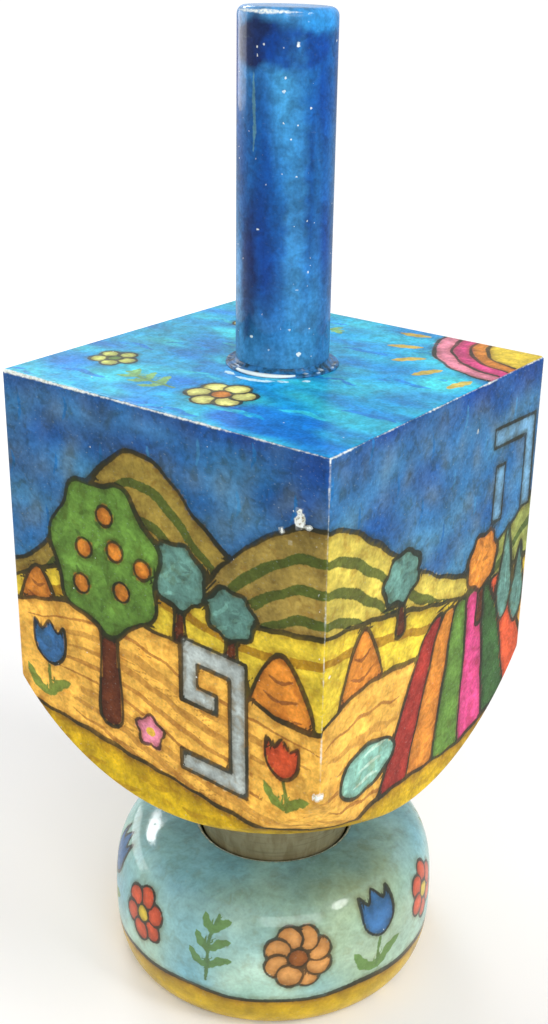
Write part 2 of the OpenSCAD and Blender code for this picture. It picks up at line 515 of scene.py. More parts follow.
def paint_hei_face(p):
    """The face along +X: hills, rows of flowers and a pond."""
    sky(p, 2.0)
    hill(p, [(-27, 80.6), (-21, 79.4), (-14, 75), (-7, 70), (0, 66), (8, 63), (16, 60)], 50,
         rgb(206, 186, 78), MOSS, (3.8, 7.6, 11.4))
    hill(p, [(5, 54), (10, 63.8), (17, 66), (22, 68.5), (27, 71)], 50, rgb(150, 160, 80), MOSS, (4,))
    hill(p, [(-27, 67.6), (-18, 66.5), (-9, 64.5), (0, 62), (10, 60), (18, 60), (27, 61)], 45, WHEAT,
         OCHRE, (3.2,))
    tree(p, -9, 61.5, 11, 8, SEA_GREEN)
    haystack(p, -17, 54.6, 8, 10.9)
    hill(p, [(-27, 55), (-18, 57.5), (-9, 57), (0, 55), (10, 54.5), (18, 55.5), (27, 56)], 30, TAN)
    furrows(p, [(-26, 54), (-16, 55.5), (-8, 54)], [(-26, 40), (-16, 37), (-6, 36)], 6)
    tops = np.linspace(-1.5, 17.5, 7)
    feet = np.linspace(-13, 30, 7)
    knees = tops + (feet - tops) * 0.35
    rows = (RED, ORANGE, GREEN, PINK, DARK_GREEN * 1.4, CORAL)
    for k, row in enumerate(rows):
        down = [(tops[k], 59.5), (knees[k], 53.5), (feet[k], 36)]
        up = [(feet[k + 1], 36), (knees[k + 1], 53.5), (tops[k + 1], 59.5)]
        p.shape(down + up, row, 0.1, line=0.6)
    cypress(p, 18.5, 53, 14, 4.4, SEA_GREEN)
    cypress(p, 22.6, 51, 12, 4.0, SEA_GREEN * 0.9)
    tree(p, 11.5, 55, 13, 8, ORANGE)
    p.shape(ring(-15, 45.6, 12, 6.5, 3, 0.05), TURQUOISE, line=0.65)
    ripples(p, [(-18, 43.8), (-15, 44.2), (-12.6, 43.8)], [(k, 1.8 * k) for k in range(3)])
    pale_blue = rgb(104, 152, 186)
    letter(p, [(12.4, 82), (23.6, 81.6), (23.9, 68.4), (21.3, 68.5), (21.2, 79.1), (12.4, 79.4)],
           pale_blue, 0.45)
    letter(p, [(13.4, 76.6), (15.9, 76.5), (15.8, 68.6), (13.2, 68.7)], pale_blue, 0.45)
    underside(p, [(-27, 36.8), (-20, 37.4), (-15, 39.3), (-6.5, 39), (1, 38.2), (8, 37.6), (14.6, 38.8),
                  (27, 42)])


def paint_gimel_face(p):
    """The face along +Y: a lake between hills, with orchards."""
    sky(p, 3.0)
    hill(p, [(-27, 71), (-20, 74), (-13, 79), (-7, 80.5), (0, 77), (7, 72), (14, 68), (27, 66)], 50,
         OLIVE, MOSS, (4, 8))
    hill(p, [(0, 64), (8, 69.5), (15, 74.5), (21, 77), (27, 77.5)], 50, GREEN * 1.15, DARK_GREEN,
         (3.6, 7.4))
    hill(p, [(-27, 61), (-18, 64), (-9, 66.5), (0, 66), (9, 64.5), (18, 65.5), (27, 66)], 45, WHEAT,
         OCHRE, (3.4,))
    p.shape(ring(9, 60, 21, 7, 3, 0.05), TURQUOISE, line=0.65)
    ripples(p, [(2, 59), (5, 59.6), (7, 59.1)], [(3 * k, k % 2) for k in range(4)])
    for k in range(3):
        tree(p, -21 + 7.5 * k, 58 + 0.8 * (k % 2), 11, 7, (SEA_GREEN, ORANGE, SEA_GREEN * 0.85)[k])
    hill(p, [(-27, 56), (-18, 58.5), (-8, 57.5), (2, 55.5), (12, 54.5), (20, 56), (27, 57)], 30, TAN)
    furrows(p, [(-26, 55), (-10, 56), (6, 53), (26, 54)], [(-26, 42), (-10, 38), (6, 35), (26, 40)], 8)
    fence(p, (6, 45), (24, 46.5), 4, 9)
    letter(p, [(-12.4, 61.8), (-6, 61.5), (-5.6, 51.6), (-4.4, 43.4), (-7, 43.2), (-7.9, 48.8),
               (-10.8, 43.6), (-13.4, 43.9), (-8.5, 51.8), (-8.6, 59.2), (-12.4, 59.3)])
    tree(p, 16, 56, 23, 13, GREEN, CORAL, trunk_w=2.2)
    daisy(p, -18.5, 49, 6.5, 6)
    blossom(p, 0.5, 45.5, 4.6, PINK)
    underside(p, [(-27, 42), (-16, 41.4), (-6, 41.8), (4, 40.6), (14, 40.2), (27, 41)])


def paint_nun_face(p):
    """The face along -X: a winding river between striped fields."""
    sky(p, 4.0)
    hill(p, [(-27, 77.5), (-20, 77), (-12, 73), (-4, 69), (4, 70), (11, 76), (17, 77), (22, 71),
             (27, 64)], 50, DRY_GRASS, MOSS, (4, 8))
    hill(p, [(-27, 66), (-17, 66.5), (-7, 65), (3, 63.5), (13, 64), (20, 62.5), (27, 61)], 45, WHEAT,
         OCHRE, (3.4,))
    for a, row in ((-26, GREEN), (-19, ORANGE), (-12, DARK_GREEN * 1.4), (-5, PINK)):
        band = [(a + 6, 59), (a + 1.5, 52), (a - 2, 38), (a + 5.5, 38), (a + 7.5, 52), (a + 10, 59)]
        p.shape(band, row, 0.1, line=0.6)
    hill(p, [(3, 40), (5, 50), (9, 57), (15, 59.5), (21, 59), (27, 57)], 30, TAN)
    furrows(p, [(7, 50), (14, 55), (26, 54)], [(5, 40), (14, 38), (26, 42)], 6)
    river = [(-3, 63), (-1, 59), (3, 55), (1, 50), (-1, 45), (2, 38), (10, 38), (7, 45), (8, 50),
             (9, 55), (4, 60), (1, 63)]
    p.shape(river, TURQUOISE, line=0.65)
    ripples(p, [(1.5, 41), (3.6, 41.5), (5.4, 41)], [(0, 4 * k) for k in range(5)])
    for k in range(3):
        tree(p, -20 + 8 * k, 60 + (k % 2), 10, 7, (SEA_GREEN, SEA_GREEN * 0.85, ORANGE)[k])
    haystack(p, 21.5, 56, 6.5, 6)
    letter(p, [(12.6, 60.6), (18.6, 60.4), (19, 43.8), (11.8, 44.1), (11.8, 46.7), (16.3, 46.5),
               (16.1, 57.9), (12.6, 58)])
    cypress(p, 12, 59, 13, 4.2, SEA_GREEN)
    underside(p, [(-27, 41), (-16, 40.4), (-6, 41.4), (4, 41), (14, 42), (27, 43.4)])


def paint_top(p):
    """Bright blue top with the sun in one corner and small yellow flowers."""
    u, v = p.u, p.v
    p.wash(0.95 * patchy(u, v * 1.7, 8, 7.0), TOP_PALE)
    p.wash(1.1 * patchy(u * 0.8, v * 1.9, 7, 11.0) - 0.3, TOP_DEEP)
    p.patch(13, -20, 16, 9, TOP_DEEP, 0.9)
    p.patch(-4, -8, 9, 5, TOP_DEEP, 0.6)
    for k in range(34):
        a = -24 + (k * 19.7) % 48
        b = -24 + (k * 13.1) % 48
        shade = (TOP_DEEP, TOP_PALE, TOP_BLUE)[k % 3]
        line = hand([(a - 3.4, b - 0.4), (a, b + 0.3), (a + 3.6, b)], wobble=0.25)
        p.stroke(line, mix(TOP_BLUE, shade, 0.7))
    corner = 25.5
    for reach, colour in ((15.5, ROSE), (13, PINK), (10.6, ORANGE), (8.4, WHEAT)):
        turns = np.linspace(-0.15, 1.72, 9)
        arc = corner - reach * np.stack([np.cos(turns), np.sin(turns)], 1)
        band = np.concatenate([hand(arc), [[corner + 3, corner + 3]]])
        p.fill(band, colour, edge=colour * 0.85, line=0.5)
    for k in range(5):
        turn = 0.16 + 0.315 * k
        way = np.array([math.cos(turn), math.sin(turn)])
        ray = hand([corner - way * 17.2, corner - way * 19.4, corner - way * 21.6], wobble=0.1)
        p.rub(ray, 1.9)
        p.stroke(ray, YELLOW, 1.5)
    # Broken pale arcs round the bead on the front of the top: a painted reflection of the bead's
    # highlight in the glossy top.
    for start, end, reach in ((-112, -100, 8.3), (-94, -62, 8.7), (-57, -44, 8.4), (-36, -30, 8.6)):
        turns = np.radians(np.linspace(start, end, 6))
        p.stroke(reach * np.stack([np.cos(turns), np.sin(turns)], 1), rgb(206, 238, 246), 0.85)
    cream, leaf_green = rgb(236, 238, 140), rgb(132, 178, 84)
    daisy(p, 2.5, -15.5, 9, 6, cream, ORANGE)
    sprig(p, -3.5, -17, 9, 3.0, leaf_green)
    daisy(p, -17.5, -12.5, 6.5, 5, rgb(206, 216, 116), GREEN)
    daisy(p, -14, 13, 7, 6, cream, ORANGE)
    sprig(p, -9.5, 14, 8, 0.5, leaf_green)


# Chips in the paint of each letter face, in the order of FACES: across, up and radius
CHIPS = (
    ((21.2, 81.2, 1.1), (22.4, 80.3, 0.5), (18.9, 79.2, 0.55), (19.9, 77.9, 0.3), (24.8, 46.2, 0.7),
     (17.2, 74.9, 0.2), (23.6, 78.4, 0.18), (15.1, 79.7, 0.15), (22.9, 84.3, 0.2), (19.6, 84.9, 0.14),
     (23.9, 72.6, 0.2), (12.4, 76.1, 0.15), (21.8, 75.6, 0.14)),
    ((-24.7, 46.4, 0.5), (-23.9, 62.3, 0.25), (7.4, 83.1, 0.3)),
    ((23.9, 58.8, 0.6), (-9.3, 85.2, 0.4)),
    ((-22.8, 84.6, 0.5), (24.6, 51.3, 0.6)),
)
# Each letter face: the direction that it looks in, the direction of its right side, and its painting
FACES = (
    ((0, -1), (1, 0), paint_pe_face),
    ((1, 0), (0, 1), paint_hei_face),
    ((0, 1), (-1, 0), paint_gimel_face),
    ((-1, 0), (0, -1), paint_nun_face),
)


def uneven(places, size, seed):
    """Slow unevenness from about -1 to 1 over places in millimetres."""
    return np.array([noise.noise(Vector(p) / size + Vector((seed, 0, 0))) for p in places])


def new_mesh(name, points, faces):
    """A smooth mesh from points in millimetres."""
    mesh = bpy.data.meshes.new(name)
    mesh.from_pydata((points * MM).tolist(), [], faces)
    mesh.update()
    mesh.shade_smooth()
    return mesh


def new_object(name, data):
    """An object put into the scene."""
    made = bpy.data.objects.new(name, data)
    bpy.context.scene.collection.objects.link(made)
    return made


def ring_mesh(name, rings):
    """A closed mesh through rings of as many points each, from its first end to its last."""
    rings = np.array(rings, float)
    count, columns = rings.shape[:2]
    ends = np.array([rings[0].mean(0), rings[-1].mean(0)])
    points = np.concatenate([rings.reshape(-1, 3), ends])
    here = np.arange(columns)
    after = np.roll(here, -1)
    start = (np.arange(count - 1) * columns)[:, None]
    above = start + columns
    quads = np.stack([start + here, start + after, above + after, above + here], 2).reshape(-1, 4)
    first, last = count * columns, count * columns + 1
    tail = (count - 1) * columns
    low = [(first, b, a) for a, b in zip(here, after)]
    high = [(tail + a, tail + b, last) for a, b in zip(here, after)]
    return new_mesh(name, points, quads.tolist() + low + high), points


def keep(mesh, name, values):
    """Stores values for each point of the mesh, for its material to read."""
    values = np.asarray(values, np.float32)
    kind, key = ("FLOAT", "value") if values.ndim == 1 else ("FLOAT_VECTOR", "vector")
    mesh.attributes.new(name, kind, "POINT").data.foreach_set(key, values.ravel())


def keep_painting(mesh, p, wear_and_highlight_gap):
    """Stores a whole surface's painting on its mesh, with the distance to its rubbed places and to the
    highlights that are painted like them.
    """
    for name in Painting.KEPT:
        keep(mesh, name, getattr(p, name))
    keep(mesh, "wear_and_highlight_gap", np.clip(wear_and_highlight_gap, -FAR, FAR))


def piece(mesh, body, material, node):
    """Puts a mesh into the scene on its body, with its finish and the CAD node that it stands for."""
    made = new_object(mesh.name, mesh)
    mesh.materials.append(material)
    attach(made, body)
    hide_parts(node)


def block_outline():
    """The block's square outline with rounded arrises, and the outward direction at each point."""
    straight, bend = 104, 6
    inner = HALF_W - ARRIS_R
    points, outward = [], []
    for (nx, ny), (rx, ry), _ in FACES:
        normal, right = np.array([nx, ny], float), np.array([rx, ry], float)
        for u in np.linspace(-inner, inner, straight + 1):
            points.append(right * u + normal * HALF_W)
            outward.append(normal)
        for turn in np.linspace(0, math.pi / 2, bend + 1)[1:-1]:
            way = normal * math.cos(turn) + right * math.sin(turn)
            points.append((right + normal) * inner + way * ARRIS_R)
            outward.append(way)
    return np.array(points), np.array(outward)


def block_rings():
    """Rings of the block from the end of the tip's bore, round the outside, to the handle's bore."""
    edge_r, crease_r = 0.45, 1.0
    ball_rows, crease_rows, side_rows, edge_rows, top_rows = 44, 5, 104, 4, 48
    outline, outward = block_outline()
    reach = np.linalg.norm(outline, axis=1)
    way = outline / reach[:, None]

    def level(points, z):
        return np.concatenate([points, np.broadcast_to(np.reshape(z, (-1, 1)), (len(points), 1))], 1)

    rings = [level(way * TENON_BORE_R, z) for z in (ROOT_Z + TIP_BORE, ROOT_Z)]
    rings.append(level(way * (TENON_BORE_R + TIP_ROOT_R) / 2, ROOT_Z))
    lean = np.arcsin((reach - crease_r) / (BALL_R - crease_r))
    root_lean = math.asin(TIP_ROOT_R / BALL_R)
    for share in np.linspace(0, 1, ball_rows):
        angle = root_lean + (lean - root_lean) * share
        rings.append(level(way * (BALL_R * np.sin(angle))[:, None], BALL_Z - BALL_R * np.cos(angle)))
    crease_z = BALL_Z - (BALL_R - crease_r) * np.cos(lean)
    for share in np.linspace(0, 1, crease_rows + 1)[1:]:
        angle = lean + (math.pi / 2 - lean) * share
        out = reach - crease_r + crease_r * np.sin(angle)
        rings.append(level(way * out[:, None], crease_z - crease_r * np.cos(angle)))
    for share in np.linspace(0, 1, side_rows + 1)[1:]:
        rings.append(level(outline, crease_z + (TOP_Z - edge_r - crease_z) * share))
    for turn in np.linspace(0, math.pi / 2, edge_rows + 1)[1:]:
        back, down = edge_r * (1 - math.cos(turn)), edge_r * (1 - math.sin(turn))
        rings.append(level(outline - outward * back, TOP_Z - down))
    rim = outline - outward * edge_r
    for share in np.linspace(0, 1, top_rows + 1)[1:]:
        rings.append(level(rim + (way * TENON_BORE_R - rim) * share, TOP_Z))
    rings.append(level(way * TENON_BORE_R, TOP_Z - HANDLE_BORE))
    return rings


def paint_block(points):
    """The four letter faces, each reaching down over the ball, and the top."""
    x, y, z = points.T
    whole = Painting(x, y, SKY)
    side = np.full(len(points), -1)
    best = np.zeros(len(points))
    for k, ((nx, ny), _, _) in enumerate(FACES):
        reach = x * nx + y * ny
        side = np.where(reach > best + 1e-6, k, side)
        best = np.maximum(best, reach)
    flat = z > TOP_Z - 0.12
    across = np.zeros(len(points))
    chips = np.full(len(points), FAR)
    rough = 1 + 0.9 * uneven(points, 0.9, 7.0)

    def paint_part(pick, u, v, ground, paint_it):
        p = Painting(u, v, ground)
        paint_it(p)
        for name in Painting.KEPT:
            getattr(whole, name)[pick] = getattr(p, name)

    for k, (_, (rx, ry), paint_face) in enumerate(FACES):
        pick = np.flatnonzero((side == k) & ~flat)
        u = across[pick] = HALF_W * (x[pick] * rx + y[pick] * ry) / np.maximum(best[pick], 1e-6)
        paint_part(pick, u, z[pick], SKY, paint_face)
        for chip_u, chip_v, radius in CHIPS[k]:
            apart = np.hypot(u - chip_u, z[pick] - chip_v) - radius * rough[pick]
            chips[pick] = np.minimum(chips[pick], 2 * apart)
    pick = np.flatnonzero(flat)
    paint_part(pick, x[pick], y[pick], TOP_BLUE, paint_top)
    arris = HALF_W - np.abs(across)
    arris_wear = np.where(z > ARRIS_END_Z, arris - 0.1 - 0.2 * uneven(points, 6.0, 3.0), FAR)
    edge = np.where(flat, HALF_W - best, TOP_Z - z)
    # Along the -Y face's top edge the pale line is drawn wider: a painted highlight. The other edges
    # show rubbed paint only.
    edge_wear_and_highlight = edge - np.where(side == 0, 0.24 - 0.004 * x, 0.14) - 0.12 * uneven(points, 5.0, 9.0)
    wear_and_highlight = np.where(flat, edge_wear_and_highlight, np.minimum(np.minimum(arris_wear, edge_wear_and_highlight), chips))
    return whole, wear_and_highlight


class Graph:
    """The nodes of one material. Places are in millimetres of the object's own frame."""

    def __init__(self, name):
        self.material = bpy.data.materials.new(name)
        self.material.use_nodes = True
        self.tree = self.material.node_tree
        self.shader = self.tree.nodes["Principled BSDF"]
        self.place = self.scaled(self.add("ShaderNodeTexCoord").outputs["Object"], 1 / MM)

    def plug(self, socket, value):
        """Links an output to a socket, or writes a constant on it."""
        if isinstance(value, bpy.types.NodeSocket):
            self.tree.links.new(value, socket)
        else:
            socket.default_value = value

    def set(self, name, value):
        self.plug(self.shader.inputs[name], value)

    def add(self, kind, inputs=(), **settings):
        """A new node with its settings, and its inputs by their names or numbers."""
        node = self.tree.nodes.new(kind)
        for key, value in settings.items():
            setattr(node, key, value)
        for key, value in dict(inputs).items():
            self.plug(node.inputs[key], value)
        return node

    def math(self, kind, *values):
        return self.add("ShaderNodeMath", enumerate(values), operation=kind).outputs[0]

    def times(self, a, b):
        return self.math("MULTIPLY", a, b)

    def scaled(self, vector, factors):
        """A vector times a number, or times three numbers."""
        if isinstance(factors, tuple):
            node = self.add("ShaderNodeVectorMath", {0: vector, 1: factors}, operation="MULTIPLY")
        else:
            node = self.add("ShaderNodeVectorMath", {0: vector, "Scale": factors}, operation="SCALE")
        return node.outputs[0]

    def split(self, vector):
        """The three parts of a vector."""
        return self.add("ShaderNodeSeparateXYZ", {0: vector}).outputs

    def span(self, value, low, high, to_low=0.0, to_high=1.0):
        """Carries low to to_low and high to to_high, smoothly."""
        inputs = enumerate((value, low, high, to_low, to_high))
        return self.add("ShaderNodeMapRange", inputs, interpolation_type="SMOOTHSTEP").outputs[0]

    def mix(self, share, a, b, kind="MIX"):
        a, b = ((*c, 1.0) if isinstance(c, (tuple, np.ndarray)) else c for c in (a, b))
        inputs = {0: share, 6: a, 7: b}
        return self.add("ShaderNodeMix", inputs, data_type="RGBA", blend_type=kind).outputs[2]

    def attribute(self, name, output="Fac"):
        return self.add("ShaderNodeAttribute", attribute_name=name).outputs[output]

    def noise(self, size, detail=2.0, stretch=(1.0, 1.0, 1.0), bend=0.0, seed=0.0):
        """Noise from 0 to 1 with features about size millimetres across."""
        inputs = {"Vector": self.scaled(self.place, stretch), "W": seed, "Scale": 1 / size,
                  "Detail": detail, "Distortion": bend}
        return self.add("ShaderNodeTexNoise", inputs, noise_dimensions="4D").outputs["Fac"]

    def dots(self, size, radius, kept):
        """Uneven dots up to a radius in millimetres, one in each cell of about size that is kept."""
        shake = self.add("ShaderNodeTexNoise", {"Vector": self.place, "Scale": 2.5}).outputs["Color"]
        inputs = {0: shake, 1: (0.4, 0.4, 0.4), 2: self.place}
        moved = self.add("ShaderNodeVectorMath", inputs, operation="MULTIPLY_ADD").outputs[0]
        inputs = {"Vector": moved, "Scale": 1 / size}
        cell = self.add("ShaderNodeTexVoronoi", inputs, feature="F1").outputs
        pick = self.add("ShaderNodeSeparateColor", {0: cell["Color"]}).outputs
        share = radius / size
        outer = self.math("MULTIPLY_ADD", pick[1], 0.8 * share, 0.4 * share)
        near = self.span(cell["Distance"], outer, self.times(outer, 0.5))
        return self.times(near, self.math("LESS_THAN", pick[0], kept))

    def line(self, name, ragged, unevenness, strength):
        """The painted lines of one kind, with slightly ragged and soft edges."""
        way = self.split(self.attribute(name + "_way", "Vector"))
        squared = self.math("MULTIPLY_ADD", way[0], way[0], self.times(way[1], way[1]))
        gap = self.math("SUBTRACT", self.math("SQRT", squared), way[2])
        gap = self.math("MULTIPLY_ADD", self.math("SUBTRACT", ragged, 0.5), unevenness, gap)
        near = self.span(self.attribute(name + "_gap"), 0.36, 0.2)
        return self.times(self.span(gap, 0.09, -0.09, 0.0, strength), near)

    def bump(self, height, depth, base=None):
        """A normal from a height from 0 to 1, depth millimetres deep."""
        inputs = {"Distance": depth * MM, "Height": height}
        if base is not None:
            inputs["Normal"] = base
        return self.add("ShaderNodeBump", inputs).outputs[0]


def lacquer(g, weight, roughness=0.06, wave_size=3.0, wave=0.012, blobs=0.02):
    """A clear coat with slow waves and specks of dust under it."""
    g.set("Specular IOR Level", 0.08)
    g.set("Coat Weight", weight)
    g.set("Coat Roughness", roughness)
    g.set("Coat IOR", 1.5)
    waves = g.bump(g.noise(wave_size, 2.0, seed=3.0), wave)
    g.set("Coat Normal", g.bump(g.dots(2.4, 0.28, 0.4), blobs, waves))


def painted_wood(name, contrast=1.0, cool_above=None, specks=2.0, brush=(0.4, 0.4, 1.0),
                 wear_and_highlight_to=WEAR_AND_HIGHLIGHT * 0.75, **coat):
    """Hand-painted wood: ground coat, brush strokes, ink lines, rubbed edges and painted highlights in
    one pale colour, pale specks, and the lacquer over them.

    Above a height given as cool_above the paint stays bluer, and its rubbed edges and painted highlights
    are broken up less."""
    g = Graph(name)
    wash = g.noise(6.0, 3.0, seed=1.0)
    cloud = g.noise(1.5, 4.0, bend=0.8, seed=2.0)
    fine = g.noise(0.34, 3.0, seed=4.0)
    dry = g.noise(0.55, 3.0, stretch=brush, seed=5.0)
    ragged = g.noise(0.5, 2.0, seed=6.0)

    stroke = g.line("tint", ragged, 0.36, 0.88)
    colour = g.mix(stroke, g.attribute("paint", "Vector"), g.attribute("tint", "Vector"))

    strength = g.span(wash, 0.3, 0.7, 1 - 0.16 * contrast, 1 + 0.16 * contrast)
    for layer, depth in ((cloud, 0.24), (fine, 0.12), (dry, 0.09)):
        swing = depth * contrast
        strength = g.times(strength, g.span(layer, 0.28, 0.72, 1 + swing, 1 - swing))
    colour = g.scaled(colour, strength)
    warm = g.mix(1.0, colour, (1.06, 0.84, 0.6), "MULTIPLY")
    warmth = g.span(cloud, 0.5, 0.72, 0.0, 0.6 * contrast)
    bare = flecks = 1.0
    if cool_above:
        height = g.split(g.place)[2]
        flecks = g.span(height, cool_above - 0.3, cool_above, 1.0, 0.15)
        warmth = g.times(warmth, flecks)
        deep = g.span(g.attribute("wear_and_highlight_gap"), -0.3, -0.45)
        above = g.span(height, cool_above - 0.8, cool_above - 0.6)
        bare = g.math("MAXIMUM", g.math("MAXIMUM", deep, above), g.span(cloud, 0.4, 0.65, 0.12, 0.6))
    colour = g.mix(warmth, colour, warm)

    fleck = g.noise(0.5, 2.0, stretch=(1.0, 1.0, 1.7), seed=7.0)
    flecks = g.times(g.span(fleck, 0.6, 0.76, 0.0, 0.34 * contrast), flecks)
    colour = g.mix(flecks, colour, FLECK)
    halo = g.span(g.attribute("ink_gap"), 0.85, 0.0, 0.0, 0.6)
    halo = g.times(halo, g.span(cloud, 0.25, 0.6, 0.3, 1.0))
    colour = g.mix(halo, colour, g.mix(1.0, colour, (0.52, 0.4, 0.26), "MULTIPLY"))

    ink = g.line("ink", ragged, 0.22, 0.95)
    ink = g.times(ink, g.span(wash, 0.35, 0.75, 1.0, 0.8))
    colour = g.mix(ink, colour, g.scaled(tuple(INK), g.span(cloud, 0.3, 0.7, 0.8, 1.6)))

    # Rubbed edges and painted highlights, with ragged edges, over a chalky ground
    wear_and_highlight_gap = g.math("MULTIPLY_ADD", g.math("SUBTRACT", ragged, 0.5), 0.36, g.attribute("wear_and_highlight_gap"))
    worn_and_highlit = g.times(g.span(wear_and_highlight_gap, 0.1, -0.12), g.span(cloud, 0.3, 0.45, 0.7, 1.0))
    worn_and_highlit = g.times(worn_and_highlit, bare)
    under = g.mix(g.span(fine, 0.45, 0.7), CHALK, wear_and_highlight_to)
    chipped = g.times(g.span(wear_and_highlight_gap, -0.7, -1.2), g.span(ragged, 0.45, 0.6))
    colour = g.mix(worn_and_highlit, colour, g.mix(chipped, under, CHIP_WOOD))
    # Small pale specks: dust and bubbles under the lacquer, with their glints painted in.
    colour = g.mix(g.times(g.dots(specks, 0.15, 0.32), 0.75), colour, CHALK)
    g.set("Base Color", colour)
    g.set("Roughness", g.span(fine, 0.3, 0.7, 0.42, 0.6))
    raised = g.times(g.math("SUBTRACT", ink, worn_and_highlit), 0.5)
    g.set("Normal", g.bump(g.math("MULTIPLY_ADD", dry, 0.6, raised), 0.03))
    lacquer(g, **coat)
    return g.material


def make_block():
    mesh, points = ring_mesh("block_painted", block_rings())
    keep_painting(mesh, *paint_block(points))
    paint = painted_wood("painted_block", cool_above=TOP_Z, weight=0.16, roughness=0.2, wave_size=1.4,
                         wave=0.02)
    piece(mesh, "dreidel", paint, "block")


def profile_rings(profile, columns):
    """Rings round the axis from an outline of (radius, height) points."""
    turn = np.arange(columns) * math.tau / columns
    return [np.stack([r * np.cos(turn), r * np.sin(turn), np.full(columns, z)], 1) for r, z in profile]


def full_curve(r0, z0, r1, z1, share, gap=0.32):
    """Points from (r0, z0) to (r1, z1), level at its start and upright at its end, about a gap apart."""
    turn = np.linspace(0, math.pi / 2, 500)
    radius = r0 + (r1 - r0) * np.sin(turn) ** (2 / share)
    height = z1 + (z0 - z1) * np.cos(turn) ** (2 / share)
    along = np.concatenate([[0], np.cumsum(np.hypot(np.diff(radius), np.diff(height)))])
    places = np.linspace(0, along[-1], int(along[-1] / gap) + 2)
    return list(zip(np.interp(places, along, radius), np.interp(places, along, height)))


def through(start, *runs):
    """Points from a start through straight runs, each given by its end and how many points reach it."""
    points = [start]
    for end, count in runs:
        points += [tuple(p) for p in np.linspace(points[-1], end, count + 1)[1:]]
    return points


def stand_profile():
    """The stand from the middle of its base, round its outside, into its socket."""
    bevel = 0.4
    base = through((4, 0), ((BASE_R - 0.3, 0), 3))
    foot = full_curve(BASE_R, 0, BELLY_R, BELLY_Z, 2.5)
    shoulder = full_curve(RIM_R, RIM_Z, BELLY_R, BELLY_Z, 2.9)[::-1]
    inside = through(shoulder[-1], ((SOCKET_R + bevel, RIM_Z), 12), ((SOCKET_R, RIM_Z - bevel), 2),
                     ((SOCKET_R, SOCKET_Z), 16), ((1, SOCKET_Z), 5))
    return base + foot + shoulder[1:-1] + inside


def paint_stand(points, up):
    """Pale blue-green with flowers all round, over a yellow foot. up is measured along the outline."""
    x, y, z = points.T
    round_w = math.tau * BELLY_R
    across = (np.arctan2(y, x) / math.tau + 0.5) * round_w
    p = Painting(across, up, STAND_GREEN)
    p.wash(0.6 + 0.9 * uneven(points * [1, 1, 1.5], 7.0, 2.0), STAND_PALE)
    p.wash(0.25 + 0.9 * uneven(points * [1, 1, 1.2], 9.0, 8.0), STAND_BLUE)
    # Greyer blue round the rim under the dreidel: painted shade.
    rim_shade = 0.55 + 0.4 * uneven(points, 6.0, 5.0)
    p.wash(rim_shade * np.clip((z - RIM_Z + 2.2) / 2.0, 0, 1), rgb(84, 138, 164))
    # Of the next patches, the paler blue on the rim at the front-left is painted light, and the darker
    # grey-green on the front shoulder and the dark olive on the rim at the front-right are painted
    # shade.
    p.patch(33, 25, 22, 10, rgb(118, 178, 204), 0.5, 0.9)
    p.patch(51, 20.5, 24, 9, rgb(104, 138, 130), 0.6, 0.9)
    p.patch(68, 25, 26, 12, rgb(92, 112, 84), 0.5, 0.9)
    p.patch(66, 15, 22, 16, rgb(150, 162, 110), 0.5, 0.9)
    spacing = round_w / 12
    for k in range(-1, 13):
        u = (k + 0.5) * spacing
        if k % 4 == 0:
            daisy(p, u, 13.9, 9.8, 8, PEACH, BROWN)
        elif k % 4 == 1:
            tulip(p, u, 8.6, 10.5, FLOWER_BLUE, 0.06)
        elif k % 4 == 2:
            daisy(p, u, 14.2, 8.8, 6, CORAL, WHEAT)
        else:
            sprig(p, u - 0.5, 9.0, 10.4, 1.45, GREEN * 0.8)
    turn = np.linspace(-0.2, math.tau + 0.2, 60)
    foot_top = np.stack([turn * BELLY_R, 7.0 + 0.3 * np.sin(5 * turn) + 0.15 * np.sin(12 * turn)], 1)
    p.fill(below(foot_top, -BASE_R), YELLOW * 0.86, edge=OCHRE, line=0, edge_w=2.0)
    p.ink(foot_top, 0.8)
    reach = np.hypot(x, y)
    depth = np.where(reach < SOCKET_R + 0.2, RIM_Z - 2.0 - z, BASE_R - 0.8 - reach - 9 * (z > 0.05))
    p.wash(np.clip(0.5 + 0.9 * depth + 0.9 * uneven(points, 2.0, 6.0), 0, 1), SOCKET_WOOD)
    lip = np.abs(reach - SOCKET_R - 0.3) - 0.2
    return p, np.where(z > RIM_Z - 0.5, lip, FAR)


def make_stand():
    columns = 420
    profile = np.array(stand_profile())
    mesh, points = ring_mesh("stand_painted", profile_rings(profile, columns))
    lengths = np.linalg.norm(np.diff(profile, axis=0), axis=1)
    up = np.concatenate([[0], np.cumsum(lengths)]) + profile[0, 0] - BASE_R
    up = np.concatenate([np.repeat(up, columns), up[:1], up[-1:]])
    keep_painting(mesh, *paint_stand(points, up))
    paint = painted_wood("painted_stand", 0.5, specks=3.2, weight=0.6, roughness=0.09)
    piece(mesh, "stand", paint, "stand")


def handle_profile():
    """The handle from the end of its tenon to the middle of its top."""
    foot_ease, top_r = 0.3, 1.0
    low, high = handle_low.z, handle_high.z
    side = through((1, low), ((HANDLE_TENON_R, low), 2), ((HANDLE_TENON_R, TOP_Z), 6),
                   ((HANDLE_R - foot_ease, TOP_Z), 1), ((HANDLE_R, TOP_Z + 1), 3),
                   ((HANDLE_R, high - top_r), 92))
    for turn in np.linspace(0, math.pi / 2, 7)[1:]:
        side.append((HANDLE_R - top_r * (1 - math.cos(turn)), high - top_r * (1 - math.sin(turn))))
    return side + through(side[-1], ((0.4, high), 12))[1:]


